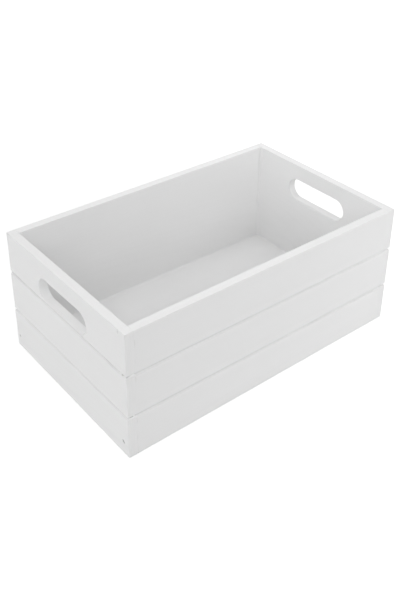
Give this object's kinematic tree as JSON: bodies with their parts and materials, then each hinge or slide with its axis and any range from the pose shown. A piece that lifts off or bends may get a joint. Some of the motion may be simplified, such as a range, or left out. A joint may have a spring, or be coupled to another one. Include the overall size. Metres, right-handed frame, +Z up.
{
  "type": "kindling box",
  "caption": "Open rectangular wooden crate for kindling, white painted, with grooved walls and a rounded hand slot in each short end.",
  "frame": {"origin": "middle of the base rectangle, on the ground", "axes": "+X along the box towards its right end, +Y across to its back side, +Z up to the open top"},
  "size_m": [0.362, 0.22, 0.147],
  "materials": {
    "painted_wood": "white paint, satin, brushed",
    "painted_floor": "white paint, satin",
    "pin_steel": "bright drawn wire"
  },
  "bodies": {
    "root": {"back_side_bottom_board": "painted_wood", "back_side_floor_pin_1": "pin_steel", "back_side_floor_pin_2": "pin_steel", "back_side_floor_pin_3": "pin_steel", "back_side_floor_pin_4": "pin_steel", "back_side_middle_board": "painted_wood", "back_side_top_board": "painted_wood", "floor_panel": "painted_floor", "front_side_bottom_board": "painted_wood", "front_side_floor_pin_1": "pin_steel", "front_side_floor_pin_2": "pin_steel", "front_side_floor_pin_3": "pin_steel", "front_side_floor_pin_4": "pin_steel", "front_side_middle_board": "painted_wood", "front_side_top_board": "painted_wood", "left_end_back_corner_pin_1": "pin_steel", "left_end_back_corner_pin_2": "pin_steel", "left_end_back_corner_pin_3": "pin_steel", "left_end_back_corner_pin_4": "pin_steel", "left_end_back_corner_pin_5": "pin_steel", "left_end_back_corner_pin_6": "pin_steel", "left_end_bottom_board": "painted_wood", "left_end_floor_pin_1": "pin_steel", "left_end_floor_pin_2": "pin_steel", "left_end_floor_pin_3": "pin_steel", "left_end_front_corner_pin_1": "pin_steel", "left_end_front_corner_pin_2": "pin_steel", "left_end_front_corner_pin_3": "pin_steel", "left_end_front_corner_pin_4": "pin_steel", "left_end_front_corner_pin_5": "pin_steel", "left_end_front_corner_pin_6": "pin_steel", "left_end_middle_board": "painted_wood", "left_end_top_board": "painted_wood", "right_end_back_corner_pin_1": "pin_steel", "right_end_back_corner_pin_2": "pin_steel", "right_end_back_corner_pin_3": "pin_steel", "right_end_back_corner_pin_4": "pin_steel", "right_end_back_corner_pin_5": "pin_steel", "right_end_back_corner_pin_6": "pin_steel", "right_end_bottom_board": "painted_wood", "right_end_floor_pin_1": "pin_steel", "right_end_floor_pin_2": "pin_steel", "right_end_floor_pin_3": "pin_steel", "right_end_front_corner_pin_1": "pin_steel", "right_end_front_corner_pin_2": "pin_steel", "right_end_front_corner_pin_3": "pin_steel", "right_end_front_corner_pin_4": "pin_steel", "right_end_front_corner_pin_5": "pin_steel", "right_end_front_corner_pin_6": "pin_steel", "right_end_middle_board": "painted_wood", "right_end_top_board": "painted_wood"}
  },
  "joints": []
}
